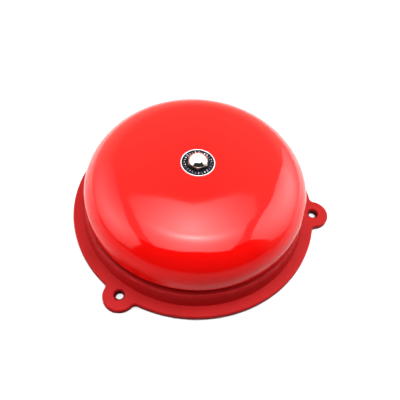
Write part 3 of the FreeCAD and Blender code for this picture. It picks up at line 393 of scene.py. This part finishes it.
def laminations():
    """Edges of stacked steel laminations, half a millimetre apart, with dark varnish between."""
    material, tree, shader = start_material("laminations", (0.20, 0.20, 0.22), 0.5, 0.8)
    lines = bands(tree, 0.5 * MM, "Z")
    stain = noise(tree, 180, 4)
    steel = blend_colour(tree, remap(tree, stain, 0.35, 0.7, 0, 1), (0.26, 0.26, 0.28), (0.15, 0.13, 0.12))
    varnished = remap(tree, lines, 0.0, 0.35, 1, 0)
    tree.links.new(blend_colour(tree, varnished, steel, (0.03, 0.03, 0.03)), shader.inputs["Base Color"])
    tree.links.new(remap(tree, stain, *NOISE_SPAN, 0.4, 0.6), shader.inputs["Roughness"])
    bump(tree, shader, lines, 0.00005)
    return material


def copper_winding():
    """Enamelled copper wire, wound in a tight layer along the coil, with painted shade in the grooves between
    turns.
    """
    material, tree, shader = start_material("copper_winding", (0.45, 0.13, 0.05), 0.3, 0.85)
    turns = bands(tree, 0.28 * MM, "X")
    tone = noise(tree, 130, 3)
    wire = blend_colour(tree, remap(tree, tone, *NOISE_SPAN, 0, 1), (0.50, 0.16, 0.06), (0.34, 0.09, 0.035))
    # Painted shade: the grooves between turns are coloured dark.
    between = remap(tree, turns, 0.0, 0.4, 1, 0)
    tree.links.new(blend_colour(tree, between, wire, (0.07, 0.02, 0.01)), shader.inputs["Base Color"])
    shader.inputs["Coat Weight"].default_value = 0.5
    bump(tree, shader, turns, 0.00008)
    return material


def moulded(name, colour, rough, grain_scale, depth, coat=0.0):
    """Moulded plastic, rubber, tape or insulation: fine skin, slight colour drift."""
    material, tree, shader = start_material(name, colour, rough)
    drift = noise(tree, 120, 3)
    grain = noise(tree, grain_scale, 3)
    darker = tuple(0.8 * part for part in colour)
    drifting = remap(tree, drift, *NOISE_SPAN, 0, 1)
    tree.links.new(blend_colour(tree, drifting, colour, darker), shader.inputs["Base Color"])
    tree.links.new(remap(tree, grain, *NOISE_SPAN, rough - 0.05, rough + 0.08), shader.inputs["Roughness"])
    shader.inputs["Coat Weight"].default_value = coat
    bump(tree, shader, grain, depth)
    return material


# Pieces with meshes of their own

def add_piece(piece, material, replaced=None):
    """Give a piece of the base its material, hang it on the base, and hide the CAD node that it stands for.
    """
    piece.data.materials.append(material)
    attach(piece, "base")
    if replaced:
        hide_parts(replaced)
    return piece


def gong(material):
    """Spun bowl of one sheet: flat land, gently rounded crown, wide bend, flaring side, rounded rim."""
    sheet = 1.5 * MM
    bend = 25 * MM
    washer = 9 * MM
    land = 13 * MM
    shoulder_radius = 75.3 * MM
    crown_fall = 1.4 * MM
    steps, crown_steps, bend_steps, side_steps, lip_steps = 288, 16, 40, 4, 10
    shoulder = Vector((shoulder_radius, GONG_TOP - crown_fall))
    rim = Vector((RIM_RADIUS, RIM_HEIGHT))
    along_crown = (shoulder - Vector((land, GONG_TOP))).normalized()
    along_side = (rim - shoulder).normalized()
    turn_angle = along_crown.angle(along_side)
    back = bend * math.tan(turn_angle / 2)
    inward = Vector((along_crown.y, -along_crown.x))
    centre = shoulder - along_crown * back + inward * bend
    reach = centre.x - land
    rise = GONG_TOP - centre.y
    crown_radius = (reach ** 2 + rise ** 2 - bend ** 2) / (2 * (rise - bend))
    crown_turn = math.degrees(math.atan2(reach, crown_radius - rise))
    first = 90 - crown_turn
    last = math.degrees(math.atan2(-inward.y, -inward.x) - turn_angle)
    lip = sheet / 2
    outside = [(STUD_HOLE, GONG_TOP), (washer, GONG_TOP)]
    outside += arc(land, GONG_TOP - crown_radius, crown_radius, 90, first, crown_steps)
    outside += arc(centre.x, centre.y, bend, first, last, bend_steps)[1:]
    side_start = Vector(outside[-1])
    rim_outer = rim + Vector((0, lip))
    outside += [tuple(side_start.lerp(rim_outer, part / side_steps)) for part in range(1, side_steps + 1)]
    edge = arc(rim.x - lip, rim.y + lip, lip, 0, -180, lip_steps)[1:]
    inside = arc(centre.x, centre.y, bend - sheet, last, first, bend_steps)
    inside += arc(land, GONG_TOP - crown_radius, crown_radius - sheet, first, 90, crown_steps)[1:]
    inside += [(STUD_HOLE, GONG_TOP - sheet)]
    bm = bmesh.new()
    rings = lathe(bm, outside + edge + inside, steps)
    for step in range(steps):
        after = (step + 1) % steps
        bm.faces.new((rings[0][step], rings[0][after], rings[-1][after], rings[-1][step]))
    add_piece(finish_mesh("gong_bowl", bm, 40), material, "gong")


def turn_disc(section, name, material, replaced=None):
    """A piece turned round the Z axis from a closed section."""
    steps = 144
    same_place = 1e-7
    bm = bmesh.new()
    lathe(bm, section + section[:1], steps)
    bmesh.ops.remove_doubles(bm, verts=bm.verts, dist=same_place)
    add_piece(finish_mesh(name, bm), material, replaced)


def disc_field(material):
    """The disc under the cap nut: a thin plate, black all over its field."""
    level = DISC_FOOT + FIELD_THICK
    under_nut = 6 * MM
    under_rim = DISC_RADIUS - 0.2 * MM
    turn_disc([(STUD_HOLE, level), (under_nut, level), (under_rim, level), (under_rim, DISC_FOOT),
               (STUD_HOLE, DISC_FOOT)], "disc_field", material, "name_disc")


def disc_rim(material):
    """Raised, rounded rim round the disc."""
    half = 0.31 * MM
    crest = half * 0.6
    level = DISC_TOP - crest
    inner = DISC_RADIUS - 2 * half
    section = [(inner, DISC_FOOT), (DISC_RADIUS, DISC_FOOT), (DISC_RADIUS, level)]
    for angle in map(math.radians, range(15, 180, 15)):
        section.append((DISC_RADIUS - half + half * math.cos(angle), level + crest * math.sin(angle)))
    section.append((inner, level))
    turn_disc(section, "disc_rim", material)


def disc_marks(material):
    """Plain ornament on the disc's field: bars, slanted bars, lozenges and pairs of dots, evenly round.

    A mark's strokes are each a shift outwards, a length and a width in millimetres, and a slope in degrees.
    """
    level = DISC_FOOT + FIELD_THICK
    proud = 0.06 * MM
    middle = 8.8 * MM
    corner_round = 0.1 * MM
    repeats = 3
    bar = [(0.0, 1.5, 0.32, 0)]
    slant = [(0.0, 1.5, 0.3, 35)]
    slant_back = [(0.0, 1.5, 0.3, -35)]
    lozenge = [(0.0, 0.7, 0.7, 45)]
    dots = [(-0.5, 0.45, 0.45, 0), (0.5, 0.45, 0.45, 0)]
    short_bars = [(-0.5, 0.3, 0.8, 0), (0.5, 0.3, 0.8, 0)]
    kinds = [bar, slant, lozenge, short_bars, slant_back, bar, dots, slant, short_bars]
    count = repeats * len(kinds)
    bm = bmesh.new()
    for index in range(count):
        angle = 2 * math.pi * (index + 0.5) / count
        for shift, length, width, slope in kinds[index % len(kinds)]:
            reach = middle + shift * MM
            centre = Vector((reach * math.cos(angle), reach * math.sin(angle), level + proud / 2))
            made = bmesh.ops.create_cube(bm, size=1.0)["verts"]
            turned = Matrix.Rotation(angle + math.radians(slope), 4, "Z")
            size = Matrix.Diagonal((length * MM, width * MM, proud, 1))
            bmesh.ops.transform(bm, matrix=Matrix.Translation(centre) @ turned @ size, verts=made)
    upright = [e for e in bm.edges if abs(e.verts[0].co.z - e.verts[1].co.z) > proud / 2]
    bmesh.ops.bevel(bm, geom=upright, offset=corner_round, segments=3, affect="EDGES", profile=0.5)
    add_piece(finish_mesh("disc_marks", bm), material)


def cap_nut(material):
    """Low cap nut: hexagon with rounded corners and turned bevels, then a dome."""
    half = NUT_FLATS / 2
    corner = half / math.cos(math.pi / 6)
    corner_round = corner * 0.035
    dome_foot = 6.1 * MM
    dome_height = NUT_TOP - NUT_FOOT - NUT_HEXAGON
    bevel_from = half * 1.01
    bevel_slope = math.tan(math.radians(30)) * 1.6
    steps, dome_steps = 360, 15
    angles = [2 * math.pi * step / steps for step in range(steps)]

    def hexagon(angle):
        """Distance from the axis to the hexagon's side, rounded a little at the corners."""
        turned = angle % (math.pi / 3) - math.pi / 6
        sharp = half / math.cos(turned)
        near = max(0.0, (sharp - (corner - corner_round)) / corner_round)
        return sharp - corner_round * 0.5 * near * near

    def bevelled(reach):
        """Height of the hexagon's turned bevel at a distance from the axis."""
        return NUT_HEXAGON - max(0.0, reach - bevel_from) * bevel_slope

    def levels(side):
        """Distance and height of the hexagon's rings, from its foot to the dome's foot."""
        yield side - 0.3 * MM, 0.0
        yield side, 0.25 * MM
        yield side, bevelled(side) - 0.12 * MM
        yield side - 0.05 * MM, bevelled(side) - 0.02 * MM
        for part in (0.2, 0.4, 0.6, 0.8, 1.0):
            reach = side * (1 - part) + dome_foot * part
            yield reach, bevelled(reach)

    bm = bmesh.new()
    sections = [list(levels(hexagon(angle))) for angle in angles]
    rings = []
    for ring in zip(*sections):
        rings.append([bm.verts.new((reach * math.cos(angle), reach * math.sin(angle), NUT_FOOT + height))
                      for angle, (reach, height) in zip(angles, ring)])
    dome_radius = (dome_foot ** 2 + dome_height ** 2) / (2 * dome_height)
    foot_angle = math.degrees(math.acos(dome_foot / dome_radius))
    dome = arc(0, NUT_HEXAGON + dome_height - dome_radius, dome_radius, foot_angle, 90, dome_steps)[1:-1]
    rings += [ring_of(bm, reach, NUT_FOOT + height, steps) for reach, height in dome]
    join_rings(bm, rings)
    tip = bm.verts.new((0, 0, NUT_TOP))
    foot = bm.verts.new((0, 0, NUT_FOOT))
    for step in range(steps):
        after = (step + 1) % steps
        bm.faces.new((rings[-1][step], rings[-1][after], tip))
        bm.faces.new((rings[0][after], rings[0][step], foot))
    add_piece(finish_mesh("cap_nut_finished", bm, 28), material, "cap_nut")


def return_spring(material):
    """Round wire coil round the rod, built at one length; the real spring shortens as the plunger comes
    forward.
    """
    start = low("return_spring").x
    end = high("return_spring").x
    wire = 0.35 * MM
    mean = (high("return_spring").y - low("return_spring").y) / 2 - wire
    axis_z = (high("return_spring").z + low("return_spring").z) / 2
    turns = 5.5
    steps = 220
    sides = 12
    along = Vector((1, 0, 0))
    round_wire = [2 * math.pi * side / sides for side in range(sides)]
    bm = bmesh.new()
    rings = []
    for step in range(steps + 1):
        part = step / steps
        angle = 2 * math.pi * turns * part
        centre = Vector((start + wire + (end - start - 2 * wire) * part, mean * math.cos(angle),
                         axis_z + mean * math.sin(angle)))
        out = Vector((0, math.cos(angle), math.sin(angle)))
        rings.append([bm.verts.new(centre + wire * (math.cos(a) * out + math.sin(a) * along))
                      for a in round_wire])
    join_rings(bm, rings)
    bm.faces.new(rings[0])
    bm.faces.new(rings[-1])
    piece = add_piece(finish_mesh("return_spring_wire", bm, 50), material, "return_spring")
    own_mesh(piece)


# The CAD nodes that stay, with their materials

def dress_cad_nodes():
    """A procedural material on every CAD node that is shown."""
    zinc = plated_steel("zinc_plate", (0.62, 0.63, 0.66), 0.28, 0.000006)
    iron = plated_steel("plunger_steel", (0.42, 0.43, 0.45), 0.35, 0.000008)
    brass = plated_steel("turned_brass", (0.72, 0.50, 0.19), 0.25, 0.000005)
    screws = plated_steel("small_screw_steel", (0.55, 0.54, 0.50), 0.3, 0.000005)
    rubber = moulded("black_rubber", (0.02, 0.02, 0.021), 0.6, 1400, 0.00002)
    nylon = moulded("bobbin_nylon", (0.66, 0.61, 0.48), 0.42, 700, 0.00001)
    tape = moulded("coil_tape", (0.70, 0.42, 0.03), 0.3, 300, 0.00001, 0.4)
    live = moulded("live_insulation", (0.20, 0.07, 0.02), 0.4, 900, 0.000008)
    neutral = moulded("neutral_insulation", (0.02, 0.07, 0.32), 0.4, 900, 0.000008)
    wardrobe = {
        base_enamel(): ["base_casting"],
        zinc: ["gong_post", "post_washer", "post_spring_washer", "post_nut", "core_screws", "core_washers",
               "core_rivets", "earth_washer"],
        laminations(): ["core_yoke"],
        iron: ["striker_plunger", "striker_rod", "rod_pin"],
        brass: ["guide_bush", "hammer_tip", "terminal_tubes", "earth_screw", "coil_terminals"],
        screws: ["terminal_clamp_screws", "terminal_fixing_screw"],
        rubber: ["gong_washer", "stop_buffer", "cable_grommet", "lead_grommets"],
        nylon: ["coil_bobbin", "terminal_body"],
        copper_winding(): ["coil_winding"],
        tape: ["coil_tape"],
        live: ["lead_wire_live"],
        neutral: ["lead_wire_neutral"],
    }
    for material, names in wardrobe.items():
        for name in names:
            node = frame["nodes"][name]
            node.data.materials.clear()
            node.data.materials.append(material)
    return iron


# The studio

PHOTO_AZIMUTH = math.radians(209.5)
PHOTO_ELEVATION = math.radians(55.55)
CAMERA_DISTANCE = 0.350
CAMERA_ROLL = math.radians(5.0)
LENS_MM = 42.86
SENSOR_MM = 36.0
SHIFT = (0.0150, 0.0174)


def in_studio(right, away, height):
    """A place given from the camera's side: to its right, away from it, and up."""
    aside = Vector((math.cos(PHOTO_AZIMUTH), math.sin(PHOTO_AZIMUTH), 0))
    behind = Vector((-math.sin(PHOTO_AZIMUTH), math.cos(PHOTO_AZIMUTH), 0))
    return aside * right + behind * away + Vector((0, 0, height))


def add_camera():
    """The camera that looks down on the bell at the wall face's centre."""
    back = in_studio(0, -math.cos(PHOTO_ELEVATION), math.sin(PHOTO_ELEVATION))
    right = in_studio(1, 0, 0)
    up = back.cross(right)
    level = math.cos(CAMERA_ROLL) * right + math.sin(CAMERA_ROLL) * up
    upright = math.cos(CAMERA_ROLL) * up - math.sin(CAMERA_ROLL) * right
    data = bpy.data.cameras.new("photo_camera")
    data.lens = LENS_MM
    data.sensor_width = SENSOR_MM
    data.shift_x, data.shift_y = SHIFT
    data.clip_start = 0.01
    camera = bpy.data.objects.new("photo_camera", data)
    bpy.context.scene.collection.objects.link(camera)
    turned = Matrix((level, upright, back)).transposed().to_4x4()
    camera.matrix_world = Matrix.Translation(back * CAMERA_DISTANCE) @ turned
    bpy.context.scene.camera = camera


def glowing(name, edge, spots=()):
    """White light of strength edge, plus spots: each a rise, a centre in the studio, a reach and a power."""
    material = bpy.data.materials.new(name)
    material.use_nodes = True
    tree = material.node_tree
    tree.nodes.clear()
    out = tree.nodes.new("ShaderNodeOutputMaterial")
    light = tree.nodes.new("ShaderNodeEmission")
    tree.links.new(light.outputs[0], out.inputs["Surface"])
    strength = calculate(tree, "ADD", edge, 0.0)
    for rise, centre, reach, power in spots:
        away = tree.nodes.new("ShaderNodeVectorMath")
        away.operation = "DISTANCE"
        away.inputs[1].default_value = in_studio(*centre)
        tree.links.new(place(tree), away.inputs[0])
        near = remap(tree, away.outputs["Value"], 0, reach, 1, 0)
        spot = calculate(tree, "MULTIPLY", calculate(tree, "POWER", near, power), rise)
        strength = calculate(tree, "ADD", spot, strength)
    tree.links.new(strength, light.inputs["Strength"])
    return material


def panel(name, faces, material):
    """A light panel of faces whose corners are given in the studio. The camera doesn't see it directly."""
    corners = [corner for face in faces for corner in face]
    mesh = bpy.data.meshes.new(name)
    numbers = iter(range(len(corners)))
    numbered = [[next(numbers) for _ in face] for face in faces]
    mesh.from_pydata([in_studio(*corner) for corner in corners], [], numbered)
    mesh.materials.append(material)
    board = bpy.data.objects.new(name, mesh)
    board.visible_camera = False
    bpy.context.scene.collection.objects.link(board)


def strip(inner, outer):
    """Faces between two rails of points."""
    return [(inner[i], inner[i + 1], outer[i + 1], outer[i]) for i in range(len(inner) - 1)]


def dot(tree, vector, axis):
    """How far a direction points along an axis."""
    node = tree.nodes.new("ShaderNodeVectorMath")
    node.operation = "DOT_PRODUCT"
    tree.links.new(vector, node.inputs[0])
    node.inputs[1].default_value = axis
    return node.outputs["Value"]


def grey(level):
    """A neutral colour."""
    return (level, level, level)


def paper_floor():
    """White paper to the camera, dimmer in what the bell mirrors and in the light it throws back, with
    painted light and shade in both: darker in front and brighter beyond, brighter to the left.
    """
    material, tree, shader = start_material("paper_floor", grey(0.6), 0.9)
    shader.inputs["Specular IOR Level"].default_value = 0.1
    path = tree.nodes.new("ShaderNodeLightPath").outputs
    seen = path["Is Camera Ray"]
    distance = radial(tree)[0]
    # Painted light and shade: to what the bell mirrors, the paper is dark in front and bright beyond.
    beyond = remap(tree, dot(tree, place(tree), in_studio(0, 1, 0)), -0.12, 0.12, 0, 1)
    mirrored = blend_colour(tree, beyond, grey(0.19), grey(0.84))
    # Painted reflection and shade: in front of the lower left ear the gong should mirror red metal, so the
    # paper is painted dark red to it there.
    ear_side = in_studio(-0.5, -0.866, 0)
    facing = calculate(tree, "DIVIDE", dot(tree, place(tree), ear_side), distance)
    shaded = calculate(tree, "MULTIPLY", remap(tree, facing, 0.93, 0.985, 0, 1),
                       remap(tree, distance, 0.09, 0.14, 1, 0))
    mirrored = blend_colour(tree, shaded, mirrored, (0.02, 0.0, 0.0))
    # Painted light: to the light it throws back, the paper is brighter on the left.
    leftward = remap(tree, dot(tree, place(tree), in_studio(-1, 0, 0)), -0.02, 0.10, 0, 1)
    bounced = blend_colour(tree, leftward, grey(0.34), grey(0.92))
    unseen = blend_colour(tree, path["Is Diffuse Ray"], mirrored, bounced)
    tree.links.new(blend_colour(tree, seen, unseen, grey(0.66)), shader.inputs["Base Color"])
    # Away from the bell it fades into the white background.
    far = remap(tree, distance, 0.14, 0.40, 0, 1)
    shader.inputs["Emission Color"].default_value = (1, 1, 1, 1)
    tree.links.new(calculate(tree, "MULTIPLY", far, seen), shader.inputs["Emission Strength"])
    return material


def add_floor():
    """A wide floor just under the bell."""
    reach = 6.0
    gap = 0.02 * MM
    mesh = bpy.data.meshes.new("floor")
    corners = [(-reach, -reach, 0), (reach, -reach, 0), (reach, reach, 0), (-reach, reach, 0)]
    mesh.from_pydata(corners, [], [(0, 1, 2, 3)])
    mesh.materials.append(paper_floor())
    floor = bpy.data.objects.new("floor", mesh)
    floor.location.z = cad_bounds[0][2] - gap
    bpy.context.scene.collection.objects.link(floor)


def add_panels():
    """Light panels over the bell and down both its sides, and a dimmer fill between them."""
    above = 1.0
    low_edge = 0.05
    softbox = [(-0.25, 0.58), (-0.40, 0.20), (-0.54, -0.28), (-0.56, -0.72), (-0.17, -0.68), (0.09, -0.60),
               (0.60, -0.62), (0.49, -0.11), (0.27, 0.40), (0.24, 0.64), (0.16, 0.64), (0.0, 0.565),
               (-0.12, 0.585)]
    overhead_spots = [(17.5, (0.01, 0.11, above), 1.0, 6.3),
                      (7.0, (0.0, 0.43, above), 0.4, 2.7),
                      (3.5, (0.0, -0.35, above), 0.8, 1.0)]
    panel("overhead_panel", [[(right, away, above) for right, away in softbox]],
          glowing("overhead_light", 1.4, overhead_spots))

    right_upper = [(0.80, 1.10, above), (0.35, 0.72, above), (0.38, 0.45, above), (0.57, 0.03, above),
                   (0.78, -0.30, above)]
    right_lower = [(1.2, 1.9, low_edge), (1.6, 0.8, low_edge), (1.7, 0.4, low_edge), (1.65, 0.0, low_edge),
                   (1.45, -0.45, 0.4)]
    panel("right_panel", strip(right_upper, right_lower),
          glowing("right_light", 1.3, [(7.2, (0.95, 0.50, 0.85), 1.4, 2.0)]))

    left_upper = [(-0.42, 0.66, above), (-0.54, 0.32, above), (-0.74, -0.10, above), (-0.88, -0.62, above),
                  (-1.0, -0.95, above)]
    left_lower = [(-1.5, 1.0, 0.3), (-1.6, 0.5, 0.15), (-1.7, 0.0, low_edge), (-1.7, -0.8, low_edge),
                  (-1.5, -1.3, 0.3)]
    panel("left_panel", strip(left_upper, left_lower),
          glowing("left_light", 1.15, [(4.4, (-1.15, -0.15, 0.80), 1.3, 2.0)]))

    over = above + 0.03
    left_fill = [(-0.95, -0.60, over), (-0.50, -0.66, over), (-0.30, 0.60, over), (-0.60, 0.60, over)]
    right_fill = [(0.50, -0.56, over), (0.80, -0.25, over), (0.45, 0.70, over), (0.20, 0.60, over)]
    panel("dim_fill", [left_fill, right_fill], glowing("dim_light", 0.9))


def add_world():
    """White to the camera; to the bell, a room that is dim behind the camera and brighter beyond."""
    world = bpy.data.worlds.new("studio")
    world.use_nodes = True
    tree = world.node_tree
    surround = tree.nodes["Background"]
    towards = tree.nodes.new("ShaderNodeTexCoord").outputs["Generated"]
    beyond = dot(tree, towards, in_studio(0, 1, 0))
    beside = calculate(tree, "ABSOLUTE", dot(tree, towards, in_studio(1, 0, 0)), 0.0)
    backdrop = calculate(tree, "ADD", beyond, calculate(tree, "MULTIPLY", beside, 0.6))
    lit = remap(tree, backdrop, 0.04, 1.0, 0.03, 1.35)
    seen = tree.nodes.new("ShaderNodeLightPath").outputs["Is Camera Ray"]
    tree.links.new(calculate(tree, "MAXIMUM", lit, seen), surround.inputs["Strength"])
    tree.links.new(blend_colour(tree, seen, (1.0, 0.97, 0.82), grey(1.0)), surround.inputs["Color"])
    bpy.context.scene.world = world
    bpy.context.scene.view_settings.view_transform = "Standard"


iron = dress_cad_nodes()
gong(gong_enamel())
disc_field(black_print())
disc_rim(silver_print("silver_rim", (0.64, 0.63, 0.64), (0.56, 0.55, 0.57)))
disc_marks(silver_print("silver_marks", (0.80, 0.80, 0.84), (0.12, 0.12, 0.17)))
cap_nut(chrome())
return_spring(iron)
add_floor()
add_panels()
add_world()
add_camera()
